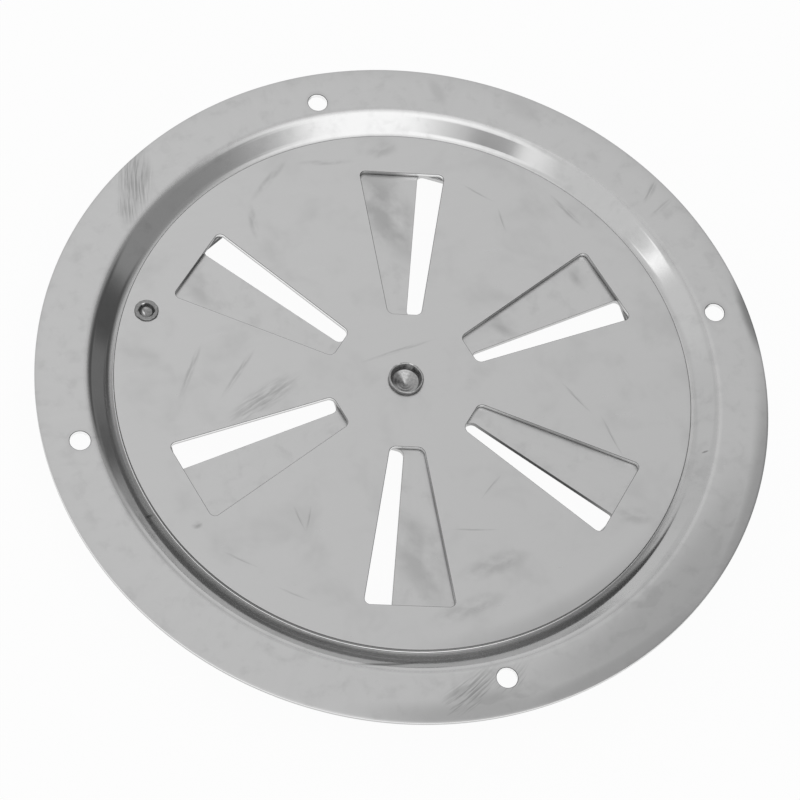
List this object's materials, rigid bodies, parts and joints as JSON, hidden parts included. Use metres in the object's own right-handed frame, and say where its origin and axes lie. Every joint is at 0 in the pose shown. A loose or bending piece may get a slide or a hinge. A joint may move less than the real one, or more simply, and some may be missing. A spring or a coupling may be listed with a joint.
{
  "type": "round vent grille",
  "caption": "Closable round sheet-metal vent grille: a slotted shutter disc turns in the recess of a flanged, slotted housing to open or close its air slots.",
  "frame": {"origin": "centre of the flange's mounting face, which lies against the wall or panel", "axes": "+Z out of the mounting face into the duct, so the recess, the front face and the knob lie below it; +X through one of the screw holes"},
  "size_m": [0.127, 0.127, 0.0121],
  "materials": {
    "housing_sheet": "mill-finish stainless sheet, polished by the press on the wall",
    "disc_sheet": "mill-finish stainless sheet",
    "rivet_steel": "bright stainless, headed and rolled",
    "knob_steel": "turned stainless"
  },
  "bodies": {
    "housing": {"housing": "housing_sheet", "pivot_rivet": "rivet_steel"},
    "shutter": {"shutter_disc": "disc_sheet", "knob": "knob_steel"}
  },
  "joints": [
    {"name": "shutter_turn", "type": "hinge", "parent": "housing", "child": "shutter", "pos_m": [0, 0, -0.0023], "axis": [0, 0, 1], "range_deg": [-14.4, 15.6]}
  ]
}
